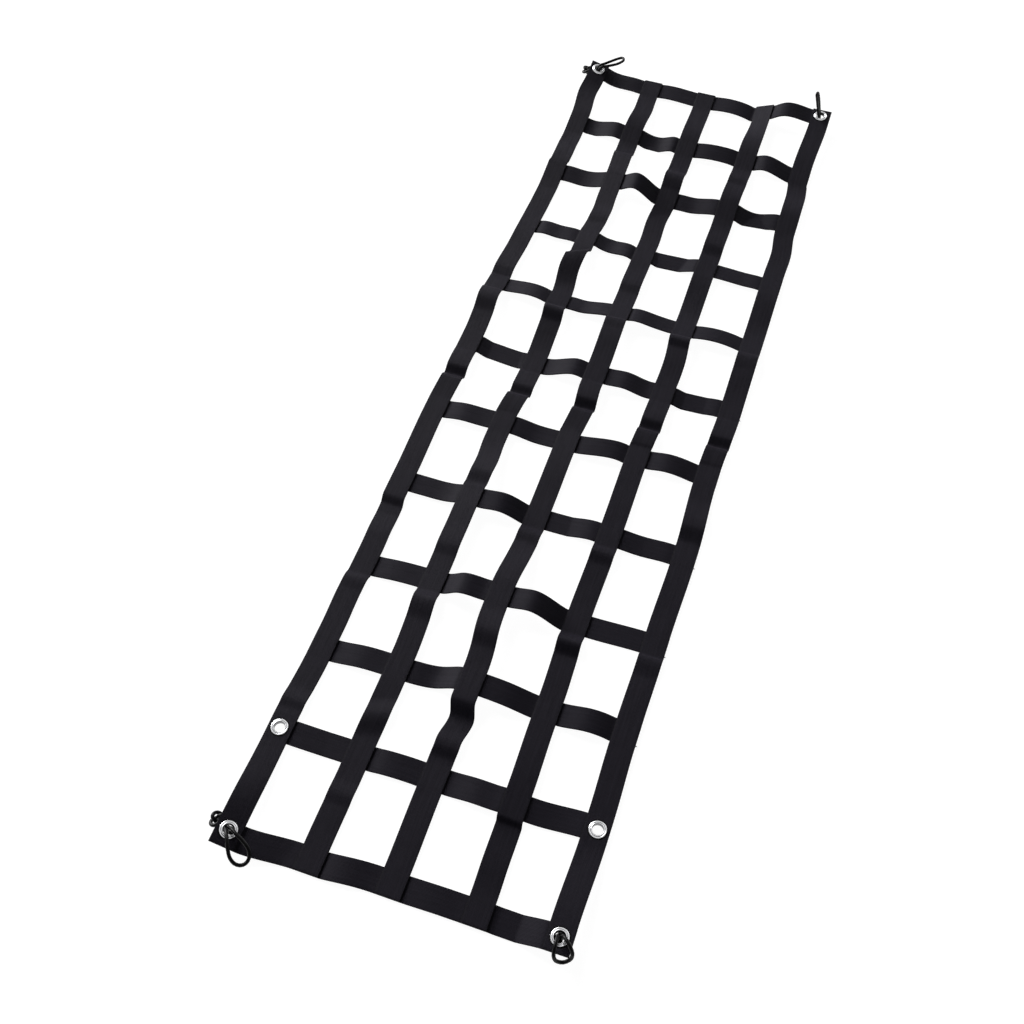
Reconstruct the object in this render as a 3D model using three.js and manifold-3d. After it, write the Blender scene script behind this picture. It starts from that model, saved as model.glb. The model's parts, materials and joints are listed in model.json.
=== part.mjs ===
// A tailgate net: flat webbing straps sewn into a grid, lying as it comes out of its packing,
// with eyelets at the corners and edges and a knotted loop of elastic cord in each corner.
// X runs across the net, Y along it away from the viewer, Z up. The net lies on Z = 0.

import * as THREE from 'three';
import { mergeVertices } from 'three/addons/utils/BufferGeometryUtils.js';
import Module from 'manifold-3d';

const wasm = await Module();
wasm.setup();

// Driving dimensions, in millimetres
const STRAP_PITCH = 100.5;
const ROW_PITCH = 134;
const STRAPS = 5;
const ROWS_UP = 12;
const WIDTH = 32;
const THICKNESS = 1.8;
const GAP = 0.3;
const EYELET_RADIUS = 11;
const EYELET_BORE = 6.7;
const EYELET_WALL = 0.8;
const EYELET_LIP = 1.2;
const CORD_RADIUS = 2.25;
const KNOT_RADIUS = 6;

// Each crossing is a flat sewn patch that reaches a little past both straps, and the folds of a
// long strap fade in over a short way beyond it
const PATCH_MARGIN = 1.5;
const PATCH = WIDTH / 2 + PATCH_MARGIN;
const PATCH_BLEND = 5;

// How finely the round pieces are divided
const EYELET_SIDES = 20;
const HOLE_SIDES = 24;
const CORD_STEPS = 36;
const CORD_HALF_SIDES = 4;
const KNOT_STEPS = 36;
const KNOT_SIDES = 7;

// One row for each cross strap, from the near end to the far end. For each of the five crossings:
// drift moves it across (x), shift along (y), lift raises it, and tilt is how much higher its right
// edge is than its left. For each of the four spans between crossings: rise is the height of its
// hump above the straight run, peak the place of that hump, from 0 at the left to 1, and leave and
// meet are the slopes on which the span leaves its left crossing and meets its right one.
// Pitch is the slope of the strap from its near to its far edge, along the whole row. Slopes are
// the rise over one strap width.
const ROWS = [
  { drift: [0, 1, 0, 4, 0], shift: [-11, -5, 0, 1, 1], lift: [13, 0, 0, 1, 13],
    tilt: [-10, 0, 0, 0, 2], leave: [-3, 10, 2, -5], meet: [1, 1, 1, 8],
    rise: [0, 1, 1, -4], peak: [0.5, 0.5, 0.6, 0.4], pitch: 0 },
  { drift: [-2, 2, -1, 2, 2], shift: [-1, 0, 2, 1, 5], lift: [2, 0, 0, 5, 2],
    tilt: [0, 0, 0, -3, 0], leave: [0, 5, 1, -4], meet: [2, -3, 5, 3],
    rise: [0, 1, 3, 0], peak: [0.2, 0.3, 0.5, 0.4], pitch: 0 },
  { drift: [1, 4, -1, 0, 0], shift: [-13, -10, -3, -4, -1], lift: [0, 4, 14, 3, 2],
    tilt: [0, 0, 1, 0, 0], leave: [3, 3, -2, 4], meet: [0, 16, -7, -13],
    rise: [2, -4, 1, 2], peak: [0.5, 0.55, 0.5, 0.5], pitch: 0 },
  { drift: [2, 0, -8, -3, 1], shift: [-12, -10, -7, -7, -5], lift: [0, 5, 17, 0, 0],
    tilt: [0, 2, 1, 0, 0], leave: [4, 12, 4, -3], meet: [1, 2, -16, 0],
    rise: [1, 7, 8, 0], peak: [0.4, 0.4, 0.45, 0.5], pitch: 0 },
  { drift: [-1, 0, -4, -1, 3], shift: [-4, -4, -1, 0, 2], lift: [3, 11, 0, 5, 0],
    tilt: [0, 4, 0, -1, 0], leave: [0, 2, -2, -4], meet: [14, -16, -6, -4],
    rise: [1, 4, -3, -2], peak: [0.4, 0.5, 0.42, 0.45], pitch: 0 },
  { drift: [-3, -1, -4, -2, -1], shift: [0, 1, 0, 6, 8], lift: [3, 7, 4, 5, 1],
    tilt: [0, 0, 2, 0, 0], leave: [7, -1, 6, 6], meet: [3, 1, -13, -8],
    rise: [2, -2, -1, 2], peak: [0.4, 0.5, 0.6, 0.4], pitch: 0 },
  { drift: [1, 5, -1, 2, 3], shift: [-3, -8, -3, -4, -2], lift: [6, 1, 10, 5, 2],
    tilt: [0, 0, -1, 0, 0], leave: [-16, 4, 0, -12], meet: [6, -10, 4, -2],
    rise: [-1, 2, 5, -3], peak: [0.4, 0.7, 0.45, 0.4], pitch: 0 },
  { drift: [-2, 1, -2, -1, 3], shift: [-5, -10, -9, -8, -6], lift: [4, 6, 11, 7, 4],
    tilt: [0, -2, 1, 1, 0], leave: [3, 2, 12, 9], meet: [-15, 2, -2, -10],
    rise: [0, -3, -2, 0], peak: [0.6, 0.4, 0.5, 0.4], pitch: -6 },
  { drift: [2, 2, -2, -1, 3], shift: [3, 1, -5, -3, -5], lift: [2, 5, 2, 5, 3],
    tilt: [0, 2, 0, -2, 0], leave: [14, -18, -14, 0], meet: [-7, -18, 8, -5],
    rise: [-5, -2, -2, -2], peak: [0.52, 0.5, 0.45, 0.6], pitch: -3 },
  { drift: [3, 5, -1, -1, -1], shift: [4, 2, -2, -2, 2], lift: [4, 13, 4, 10, 5],
    tilt: [0, 4, -2, -2, 0], leave: [3, 18, 2, -17], meet: [12, -14, 2, 0],
    rise: [-2, 6, -3, -4], peak: [0.5, 0.4, 0.45, 0.5], pitch: 6 },
  { drift: [2, 1, -2, 0, -6], shift: [-1, -6, -8, -6, -10], lift: [4, 9, 9, 8, 3],
    tilt: [0, -3, -1, 0, 0], leave: [-14, -16, 7, 14], meet: [-10, -14, -10, -8],
    rise: [1, -6, -1, 2], peak: [0.8, 0.55, 0.6, 0.3], pitch: 6 },
  { drift: [-2, -1, -4, 1, -2], shift: [1, -5, -7, -11, -1], lift: [14, 5, 5, 10, 18],
    tilt: [-8, 0, 0, 13, 0], leave: [-17, 5, 5, 24], meet: [-4, -2, -12, -3],
    rise: [1, 0, 0, 2], peak: [0.7, 0.45, 0.45, 0.35], pitch: 4 },
];

// The net was packed folded in half: each long strap keeps a sharp valley there, at this row
// height, and sways to the side over a length before and after it. A ridge lies close on the
// valley's near side, its floor is low, and a slope comes down to it from the far side. From is the
// distance from the valley in rows.
const PACKING_VALLEY = [5.465, 5.445, 5.465, 5.43, 5.46];
const VALLEY_SWAY = [2, 2.5, 4, 1.5, 0.5];
const SWAY_NEAR = 55;
const SWAY_FAR = 45;
const VALLEY_FOLDS = [
  { from: -0.03, rise: 4, near: 45, far: 6, sway: 0, skew: 0 },
  { from: 0, rise: -3, near: 8, far: 18, sway: 0, skew: 0 },
  { from: 0.13, rise: 4, near: 16, far: 45, sway: 0, skew: 0 },
];

// Where else a long strap lies bowed to one side, over the same lengths
const BOWS = [
  { strap: 0, at: 2.55, sway: -2 },
  { strap: 0, at: 9.30, sway: 2 },
  { strap: 0, at: 10.55, sway: -3 },
  { strap: 1, at: 4.40, sway: 3 },
  { strap: 1, at: 6.60, sway: 2 },
  { strap: 1, at: 7.40, sway: -4 },
  { strap: 1, at: 8.45, sway: 3 },
  { strap: 1, at: 10.45, sway: 2 },
  { strap: 2, at: 3.40, sway: 1 },
  { strap: 2, at: 8.60, sway: -3 },
  { strap: 3, at: 6.45, sway: 2 },
  { strap: 4, at: 8.55, sway: 3 },
  { strap: 4, at: 9.60, sway: 2.5 },
];

// The other folds of the long straps. At is the place of the crest in rows, rise its height, near
// and far the lengths of its two slopes, sway how far the strap moves sideways there, and skew how
// much further away the crest is at the strap's right edge than at its left.
const FOLDS = [
  { strap: 0, at: 1.30, rise: 2, near: 14, far: 20, sway: 0, skew: 0 },
  { strap: 0, at: 2.70, rise: 2, near: 18, far: 14, sway: 0, skew: 0 },
  { strap: 0, at: 3.63, rise: -5, near: 50, far: 16, sway: 1, skew: 0 },
  { strap: 0, at: 6.66, rise: 7, near: 30, far: 40, sway: 0, skew: 0 },
  { strap: 0, at: 7.25, rise: 6, near: 26, far: 60, sway: 0, skew: 0 },
  { strap: 1, at: 0.60, rise: 2, near: 16, far: 20, sway: 0, skew: 0 },
  { strap: 1, at: 1.40, rise: 4, near: 30, far: 26, sway: 1, skew: 10 },
  { strap: 1, at: 2.68, rise: 6, near: 32, far: 16, sway: 0, skew: 0 },
  { strap: 1, at: 3.36, rise: 3, near: 20, far: 40, sway: 0, skew: 0 },
  { strap: 1, at: 4.30, rise: 6, near: 24, far: 50, sway: 0, skew: 0 },
  { strap: 1, at: 6.70, rise: 8, near: 22, far: 14, sway: 0, skew: 0 },
  { strap: 1, at: 7.67, rise: 9, near: 68, far: 7, sway: -3, skew: 16 },
  { strap: 1, at: 8.42, rise: 3, near: 18, far: 30, sway: 0, skew: 0 },
  { strap: 1, at: 9.52, rise: 5, near: 40, far: 7, sway: 0, skew: 0 },
  { strap: 2, at: 1.32, rise: 3, near: 16, far: 24, sway: 1, skew: 0 },
  { strap: 2, at: 1.62, rise: -8, near: 36, far: 22, sway: 5, skew: 0 },
  { strap: 2, at: 2.52, rise: 5, near: 26, far: 36, sway: 0, skew: 0 },
  { strap: 2, at: 3.76, rise: 4, near: 18, far: 14, sway: 0, skew: 0 },
  { strap: 2, at: 6.76, rise: 3, near: 18, far: 14, sway: 0, skew: 0 },
  { strap: 2, at: 7.42, rise: 4, near: 20, far: 46, sway: 0, skew: 0 },
  { strap: 2, at: 9.32, rise: 7, near: 30, far: 24, sway: 0, skew: 0 },
  { strap: 3, at: 0.81, rise: -4, near: 60, far: 9, sway: 1, skew: 0 },
  { strap: 3, at: 2.70, rise: 9, near: 20, far: 18, sway: 0, skew: 0 },
  { strap: 3, at: 3.76, rise: 4, near: 18, far: 14, sway: 0, skew: 0 },
  { strap: 3, at: 6.72, rise: 6, near: 16, far: 14, sway: 0, skew: 0 },
  { strap: 3, at: 8.38, rise: 6, near: 26, far: 50, sway: 0, skew: 0 },
  { strap: 3, at: 9.58, rise: 4, near: 18, far: 30, sway: 0, skew: 0 },
  { strap: 4, at: 2.77, rise: 4, near: 26, far: 20, sway: 0, skew: 0 },
  { strap: 4, at: 4.38, rise: 8, near: 28, far: 50, sway: 0, skew: 0 },
  { strap: 4, at: 6.74, rise: 3, near: 26, far: 14, sway: 0, skew: 0 },
];

// Where the eyelets are set: strap and row of the crossing, and how far off its middle
const EYELETS = [
  { name: 'near_left', strap: 0, row: 0, dx: -1, dy: 4 },
  { name: 'near_right', strap: 4, row: 0, dx: 0, dy: 2 },
  { name: 'far_left', strap: 0, row: 11, dx: -1, dy: 2 },
  { name: 'far_right', strap: 4, row: 11, dx: -1, dy: 2 },
  { name: 'side_left', strap: 0, row: 1, dx: -1, dy: 1 },
  { name: 'side_right', strap: 4, row: 1, dx: 1, dy: -1 },
];

// Half of a loop's outline, chosen by eye: distance along the loop from the eyelet's top, and half
// the width between its two legs there. The far half mirrors it.
const LOOP_HALF = [
  { along: 0, half: 2.7 },
  { along: 6, half: 3 },
  { along: 14, half: 4.6 },
  { along: 24, half: 7.6 },
  { along: 33, half: 9.2 },
  { along: 40, half: 8 },
  { along: 44.5, half: 4.6 },
  { along: 46, half: 0 },
];

// How each loop lies: the corner it is in, the direction it leans, in degrees from +X, how much the
// part beyond its neck spreads, and its spine, as distances out and up from the top of the eyelet,
// from just above the knot to the loop's end. The knot's place is from the eyelet's middle.
const NECK_HALF = 3;
const LOOPS = [
  { corner: 'near_left', heading: -42, spread: 1.1, knot: [-21, 10],
    spine: [[-1.5, -7.4], [0, 0], [3, 6], [11, 9], [22, 8], [34, 4], [46, -3]] },
  { corner: 'near_right', heading: -64, spread: 1.3, knot: [-2, 1],
    spine: [[0, -7.4], [0, 0], [2, 7], [7, 12], [15, 12], [23, 6], [27, -3]] },
  { corner: 'far_left', heading: 30, spread: 0.5, knot: [-21.5, 8],
    spine: [[-2, -9.6], [0, 0], [3, 4], [10, 5.5], [20, 7.2], [32, 9.8], [45, 13.8]] },
  { corner: 'far_right', heading: 170, spread: 0.2, knot: [-2, -6],
    spine: [[1, -12.4], [2.5, 0], [4.5, 7], [7, 16], [9.5, 25], [12, 33], [14.5, 40]] },
];

const WEBBING = new THREE.MeshStandardMaterial({ color: '#222126', roughness: 0.75, metalness: 0 });
const PLATED = new THREE.MeshStandardMaterial({ color: '#c6c8cb', roughness: 0.3, metalness: 1 });
const ELASTIC = new THREE.MeshStandardMaterial({ color: '#17171a', roughness: 0.8, metalness: 0 });

function smooth(t) {
  const s = Math.min(Math.max(t, 0), 1);
  return s * s * (3 - 2 * s);
}

// Rises from 0 at one end of a span to 1 at its peak, and back to 0 at the other end
function hump(s, peak) {
  return s < peak ? smooth(s / peak) : smooth((1 - s) / (1 - peak));
}

// A place along the net, from 0 at the first cross strap, one for each row
function rowHeightToY(at) {
  return (at - (ROWS_UP - 1) / 2) * ROW_PITCH;
}

// The sewn patch where a long strap and a cross strap meet, on the cross strap's middle surface.
// A patch that tilts stands on its low edge.
function patch(strap, row) {
  const { drift, shift, lift, tilt, pitch } = ROWS[row];
  const slopeX = tilt[strap] / WIDTH;
  const slopeY = pitch / WIDTH;
  const lowEdge = (Math.abs(slopeX) + Math.abs(slopeY)) * PATCH;
  return {
    x: (strap - (STRAPS - 1) / 2) * STRAP_PITCH + drift[strap],
    y: rowHeightToY(row) + shift[strap],
    z: Math.max(lift[strap], lowEdge) + THICKNESS / 2,
    slopeX,
    slopeY,
  };
}

function patchNormal({ slopeX, slopeY }) {
  return new THREE.Vector3(-slopeX, -slopeY, 1).normalize();
}

// The patches that a strap passes through, seen along the strap: where each is, how far to the
// side, how high, how it slopes along the strap and leans across it, and on which slopes the strap
// leaves it and meets it
function longStrapPatches(strap) {
  return ROWS.map((_, row) => {
    const here = patch(strap, row);
    const slope = here.slopeY;
    const height = here.z + (THICKNESS + GAP) / patchNormal(here).z;
    return { at: here.y, side: here.x, height, slope, lean: here.slopeX, leave: slope, meet: slope };
  });
}

function crossStrapPatches(row) {
  const { leave, meet } = ROWS[row];
  return Array.from({ length: STRAPS }, (_, strap) => {
    const here = patch(strap, row);
    return {
      at: here.x,
      side: here.y,
      height: here.z,
      slope: here.slopeX,
      lean: here.slopeY,
      leave: (leave[strap] ?? 0) / WIDTH,
      meet: (meet[strap - 1] ?? 0) / WIDTH,
    };
  });
}

// A strap's run at one place: flat on the patches and an easy curve between them
function run(patches, along) {
  const next = patches.findIndex((each) => each.at > along);
  const after = next === -1 ? patches.length - 1 : next;
  const before = Math.max(next === -1 ? after : next - 1, 0);
  const a = patches[before];
  const b = patches[after];
  const start = a.at + PATCH;
  const length = b.at - PATCH - start;
  const s = before === after ? 0 : THREE.MathUtils.clamp((along - start) / length, 0, 1);
  if (s === 0) {
    return { side: a.side, height: a.height + a.slope * (along - a.at), lean: a.lean, span: before, s };
  }
  if (s === 1) {
    return { side: b.side, height: b.height + b.slope * (along - b.at), lean: b.lean, span: before, s };
  }
  const from = a.height + a.slope * PATCH;
  const to = b.height - b.slope * PATCH;
  const bend = length * s * (1 - s) * (a.leave * (1 - s) - b.meet * s);
  return {
    side: THREE.MathUtils.lerp(a.side, b.side, smooth(s)),
    height: THREE.MathUtils.lerp(from, to, smooth(s)) + bend,
    lean: THREE.MathUtils.lerp(a.lean, b.lean, smooth(s)),
    span: before,
    s,
  };
}

function swayFold(at, sway) {
  return { at, rise: 0, near: SWAY_NEAR, far: SWAY_FAR, sway, skew: 0 };
}

// All folds of one long strap, with its bows and those of the packing valley
function foldsOf(strap) {
  const valley = PACKING_VALLEY[strap];
  return [
    ...FOLDS.filter((fold) => fold.strap === strap),
    swayFold(valley, VALLEY_SWAY[strap]),
    ...BOWS.filter((bow) => bow.strap === strap).map(({ at, sway }) => swayFold(at, sway)),
    ...VALLEY_FOLDS.map((fold) => ({ ...fold, at: valley + fold.from })),
  ];
}

function crest(fold, along, across) {
  const from = along - rowHeightToY(fold.at) - fold.skew * (across / WIDTH);
  return from < 0 ? smooth(1 + from / fold.near) : smooth(1 - from / fold.far);
}

// The middle surface of a long strap, at a place along it and a distance across it
function longStrapSurface(patches, folds, along, across) {
  const { side, height, lean } = run(patches, along);
  const offPatch = Math.min(...patches.map((each) => Math.abs(along - each.at))) - PATCH;
  const free = smooth(offPatch / PATCH_BLEND);
  const level = across / Math.hypot(1, lean);
  let x = side + level;
  let z = height + level * lean;
  for (const fold of folds) {
    x += free * fold.sway * crest(fold, along, 0);
    z += free * fold.rise * crest(fold, along, across);
  }
  return new THREE.Vector3(x, along, Math.max(z, THICKNESS / 2));
}

function crossStrapSurface(patches, { rise, peak }, along, across) {
  const { side, height, lean, span, s } = run(patches, along);
  const level = -across / Math.hypot(1, lean);
  const bow = rise[span] === undefined ? 0 : rise[span] * hump(s, peak[span]);
  const z = height + bow + level * lean;
  return new THREE.Vector3(along, side + level, Math.max(z, THICKNESS / 2));
}

// A strap is a box with one section at each station. Each corner of a section is carried to its
// place on the strap's surface, half the thickness above or below it.
function strapGeometry(stations, surface) {
  const probe = 0.2; // a short way each side of a point, to find how the surface faces there
  const last = stations.length - 1;
  const geometry = new THREE.BoxGeometry(WIDTH, last, THICKNESS, 1, last, 1);
  const points = geometry.attributes.position;
  const point = new THREE.Vector3();
  for (let n = 0; n < points.count; n += 1) {
    point.fromBufferAttribute(points, n);
    const along = stations[Math.round(point.y + last / 2)];
    const acrossWay = surface(along, probe).sub(surface(along, -probe));
    const alongWay = surface(along + probe, point.x).sub(surface(along - probe, point.x));
    const normal = acrossWay.cross(alongWay).normalize();
    const place = surface(along, point.x).addScaledVector(normal, point.z);
    points.setXYZ(n, place.x, place.y, place.z);
  }
  return geometry;
}

// Sections at the strap's ends and at both edges of each patch, and between the patches at the
// places asked for, where they aren't crowded
function stationsAlong(patches, places) {
  const closest = 3;
  const ends = [patches[0].at - WIDTH / 2, patches.at(-1).at + WIDTH / 2];
  const edges = patches.flatMap(({ at }) => [at - PATCH, at + PATCH]);
  const stations = [...ends, ...edges.slice(1, -1)];
  for (const place of places) {
    const onPatch = patches.some(({ at }) => Math.abs(place - at) < PATCH);
    const crowded = stations.some((each) => Math.abs(place - each) < closest);
    if (!onPatch && !crowded) {
      stations.push(place);
    }
  }
  return stations.sort((a, b) => a - b);
}

// Places in the span after a patch, from 0 at its start to 1 at its end
function placesInSpan(patches, span, shares) {
  const start = patches[span].at + PATCH;
  const length = patches[span + 1].at - PATCH - start;
  return shares.map((share) => start + share * length);
}

function longStrap(strap) {
  const patches = longStrapPatches(strap);
  const folds = foldsOf(strap);
  const places = folds.flatMap(({ at, near, far }) => {
    const y = rowHeightToY(at);
    return [y, y - near, y + far, y - near / 2, y + far / 2];
  });
  const evenShares = [0.06, 0.25, 0.5, 0.75, 0.94];
  for (let span = 0; span + 1 < patches.length; span += 1) {
    places.push(...placesInSpan(patches, span, evenShares));
  }
  const surface = (along, across) => longStrapSurface(patches, folds, along, across);
  return strapGeometry(stationsAlong(patches, places), surface);
}

function crossStrap(row) {
  const patches = crossStrapPatches(row);
  const climbShares = [0.3, 0.6, 1];
  const fallShares = [0.35, 0.65];
  const places = ROWS[row].peak.flatMap((peak, span) => {
    const climb = climbShares.map((share) => share * peak);
    const fall = fallShares.map((share) => peak + share * (1 - peak));
    return placesInSpan(patches, span, [...climb, ...fall]);
  });
  const surface = (along, across) => crossStrapSurface(patches, ROWS[row], along, across);
  return strapGeometry(stationsAlong(patches, places), surface);
}

function toSolid(geometry) {
  const weld = 1e-4;
  const bare = geometry.clone();
  bare.deleteAttribute('normal');
  bare.deleteAttribute('uv');
  const merged = mergeVertices(bare, weld);
  return new wasm.Manifold(new wasm.Mesh({
    numProp: 3,
    vertProperties: new Float32Array(merged.attributes.position.array),
    triVerts: new Uint32Array(merged.index.array),
  }));
}

function toGeometry(solid) {
  const { vertProperties, triVerts } = solid.getMesh();
  const geometry = new THREE.BufferGeometry();
  geometry.setAttribute('position', new THREE.BufferAttribute(vertProperties, 3));
  geometry.setIndex(new THREE.BufferAttribute(triVerts, 1));
  geometry.computeVertexNormals();
  return geometry;
}

// The frame of an eyelet: its middle between the two straps, and its axis square to the patch
function eyeletFrame({ strap, row, dx, dy }) {
  const here = patch(strap, row);
  const normal = patchNormal(here);
  const onPatch = here.z + here.slopeX * dx + here.slopeY * dy;
  const middle = new THREE.Vector3(here.x + dx, here.y + dy, onPatch);
  middle.addScaledVector(normal, (THICKNESS + GAP) / 2);
  const turn = new THREE.Quaternion().setFromUnitVectors(new THREE.Vector3(0, 0, 1), normal);
  return new THREE.Matrix4().compose(middle, turn, new THREE.Vector3(1, 1, 1));
}

// The hole that an eyelet's barrel passes through, cut well past both straps
function punch(eyelet) {
  const radius = EYELET_BORE + EYELET_WALL + GAP;
  const length = 6 * THICKNESS;
  const cutter = new THREE.CylinderGeometry(radius, radius, length, HOLE_SIDES);
  cutter.rotateX(Math.PI / 2);
  return toSolid(cutter.applyMatrix4(eyeletFrame(eyelet)));
}

function punched(geometry, eyelets) {
  let solid = toSolid(geometry);
  for (const eyelet of eyelets) {
    solid = solid.subtract(punch(eyelet));
  }
  return toGeometry(solid);
}

// From an eyelet's middle to the foot of a lip, which clears the strap's face, and to its top
const LIP_FOOT = GAP / 2 + THICKNESS + GAP;
const LIP_TOP = LIP_FOOT + EYELET_LIP;

// A barrel with a lip rolled over at each end: round at its rims and flat on top between them
function eyeletGeometry() {
  const outerRound = 1;
  const innerRound = 1.3;
  const shoulder = LIP_FOOT + 0.65 * EYELET_LIP;
  const lip = [
    [EYELET_BORE + EYELET_WALL, LIP_FOOT],
    [EYELET_RADIUS, LIP_FOOT],
    [EYELET_RADIUS - outerRound / 4, shoulder],
    [EYELET_RADIUS - outerRound, LIP_TOP],
    [EYELET_BORE + innerRound, LIP_TOP],
    [EYELET_BORE + innerRound / 4, shoulder],
    [EYELET_BORE, LIP_FOOT],
  ];
  const lower = lip.map(([radius, height]) => [radius, -height]).reverse();
  const outline = [...lip, ...lower, lip[0]];
  const points = outline.map(([radius, height]) => new THREE.Vector2(radius, height));
  const geometry = new THREE.LatheGeometry(points, EYELET_SIDES);
  geometry.rotateX(Math.PI / 2);
  return geometry;
}

// The route of a loop: up through the eyelet on one side, round its end, and down on the other.
// The outline is stretched along the spine, so a longer loop is wider too.
function loopRoute({ heading, spread, spine }) {
  const points = spine.map(([out, up]) => new THREE.Vector3(out, 0, up));
  const middle = new THREE.CatmullRomCurve3(points);
  const below = -spine[0][1];
  const reach = LOOP_HALF.at(-1).along + below;
  const stretch = middle.getLength() / reach;
  const stations = [{ along: -below, half: LOOP_HALF[0].half }, ...LOOP_HALF];
  const leg = (side) => stations.map(({ along, half }) => {
    const place = middle.getPointAt((along + below) / reach);
    const wide = stretch * (half + (spread - 1) * Math.max(half - NECK_HALF, 0));
    return place.setY(side * wide);
  });
  const back = leg(-1).reverse().slice(1);
  const turn = new THREE.Matrix4().makeRotationZ(THREE.MathUtils.degToRad(heading));
  return [...leg(1), ...back].map((point) => point.applyMatrix4(turn));
}

function cordGeometry(route) {
  const section = new THREE.Shape();
  section.absarc(0, 0, CORD_RADIUS, 0, 2 * Math.PI);
  return new THREE.ExtrudeGeometry(section, {
    steps: CORD_STEPS,
    curveSegments: CORD_HALF_SIDES,
    bevelEnabled: false,
    extrudePath: new THREE.CatmullRomCurve3(route),
  });
}

// A knot is three interlaced lobes of the cord, lying flat on the ground
function knotGeometry() {
  const turns = 2;
  const lobes = 3;
  const geometry = new THREE.TorusKnotGeometry(
    KNOT_RADIUS, CORD_RADIUS, KNOT_STEPS, KNOT_SIDES, turns, lobes,
  );
  const { min } = new THREE.Box3().setFromBufferAttribute(geometry.attributes.position);
  geometry.translate(0, 0, -min.z);
  return geometry;
}

const net = new THREE.Group();

function add(name, geometry, material) {
  const mesh = new THREE.Mesh(geometry, material);
  mesh.name = name;
  net.add(mesh);
  return mesh;
}

for (let strap = 0; strap < STRAPS; strap += 1) {
  const eyelets = EYELETS.filter((eyelet) => eyelet.strap === strap);
  add(`long_strap_${strap + 1}`, punched(longStrap(strap), eyelets), WEBBING);
}

for (let row = 0; row < ROWS_UP; row += 1) {
  const eyelets = EYELETS.filter((eyelet) => eyelet.row === row);
  const number = String(row + 1).padStart(2, '0');
  add(`cross_strap_${number}`, punched(crossStrap(row), eyelets), WEBBING);
}

for (const eyelet of EYELETS) {
  const frame = eyeletFrame(eyelet);
  const mesh = add(`eyelet_${eyelet.name}`, eyeletGeometry(), PLATED);
  frame.decompose(mesh.position, mesh.quaternion, mesh.scale);
}

for (const loop of LOOPS) {
  const corner = EYELETS.find((eyelet) => eyelet.name === loop.corner);
  const frame = eyeletFrame(corner);
  const cord = add(`loop_${loop.corner}`, cordGeometry(loopRoute(loop)), ELASTIC);
  cord.position.set(0, 0, LIP_TOP).applyMatrix4(frame);
  const knot = add(`knot_${loop.corner}`, knotGeometry(), ELASTIC);
  knot.position.setFromMatrixPosition(frame).setZ(0);
  knot.position.add(new THREE.Vector3(loop.knot[0], loop.knot[1], 0));
}

export default net;
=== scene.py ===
# %% [markdown]
# A tailgate net of sewn webbing
#
# The net is a grid of flat black webbing: five long straps sewn over twelve cross straps, with
# plated eyelets clamped through its corners and edges, and a knotted loop of elastic cord in each
# corner. It lies on a white floor as it came out of its packing, so its straps are still folded.
# The frame's solids already have the sizes. This lesson dresses them: each piece is made again as
# a finer mesh in the same place, gets a finish of its own, and is lit as in a small studio.

# %% Load the frame
import json
import math
from collections import namedtuple
from functools import partial

import bmesh
import bpy
import numpy as np
from mathutils import Matrix, Vector, noise

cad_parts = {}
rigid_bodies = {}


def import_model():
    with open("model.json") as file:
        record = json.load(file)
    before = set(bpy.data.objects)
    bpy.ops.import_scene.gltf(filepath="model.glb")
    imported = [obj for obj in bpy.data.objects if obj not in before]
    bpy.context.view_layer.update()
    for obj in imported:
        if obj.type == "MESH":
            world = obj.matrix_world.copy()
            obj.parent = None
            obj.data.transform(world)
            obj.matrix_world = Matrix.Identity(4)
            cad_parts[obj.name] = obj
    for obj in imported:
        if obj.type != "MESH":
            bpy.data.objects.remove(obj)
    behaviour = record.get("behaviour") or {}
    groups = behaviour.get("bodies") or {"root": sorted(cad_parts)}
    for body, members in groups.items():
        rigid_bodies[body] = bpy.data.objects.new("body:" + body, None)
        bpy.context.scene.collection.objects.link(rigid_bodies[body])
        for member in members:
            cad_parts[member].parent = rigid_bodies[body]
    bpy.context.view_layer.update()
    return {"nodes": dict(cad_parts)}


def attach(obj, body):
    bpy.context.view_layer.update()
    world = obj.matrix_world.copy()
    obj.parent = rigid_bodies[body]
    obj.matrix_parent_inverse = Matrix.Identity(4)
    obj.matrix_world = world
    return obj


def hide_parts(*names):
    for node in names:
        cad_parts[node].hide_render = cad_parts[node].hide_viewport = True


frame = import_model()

print("solids in the frame:", len(frame["nodes"]))

# %% [markdown]
# The camera looks down on the net from beyond its near right corner. It could be placed by eye,
# but the crossings of an even grid fix the angle, the distance and the lens together. They are
# noted as a photographer would: the point it aims at on the floor, how far away it stands, and how
# far round and how high it is.

# %% Camera
IMAGE_PIXELS = 1024
FOCAL_PIXELS = 1245
SENSOR_MM = 36
AIM = Vector((-0.0396, -0.2039, 0))
DISTANCE = 1.718
AZIMUTH = math.radians(19.15)
ELEVATION = math.radians(56)


def add_object(name, data):
    added = bpy.data.objects.new(name, data)
    bpy.context.collection.objects.link(added)
    return added


toward_camera = Vector((
    math.sin(AZIMUTH) * math.cos(ELEVATION),
    -math.cos(AZIMUTH) * math.cos(ELEVATION),
    math.sin(ELEVATION),
))
lens = bpy.data.cameras.new("camera")
lens.sensor_width = SENSOR_MM
lens.lens = SENSOR_MM * FOCAL_PIXELS / IMAGE_PIXELS
camera = add_object("camera", lens)
camera.location = AIM + toward_camera * DISTANCE
camera.rotation_euler = (-toward_camera).to_track_quat("-Z", "Y").to_euler()
bpy.context.scene.camera = camera
print(f"lens of {lens.lens:.1f} mm, camera {camera.location.z:.2f} m above the floor")

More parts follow.
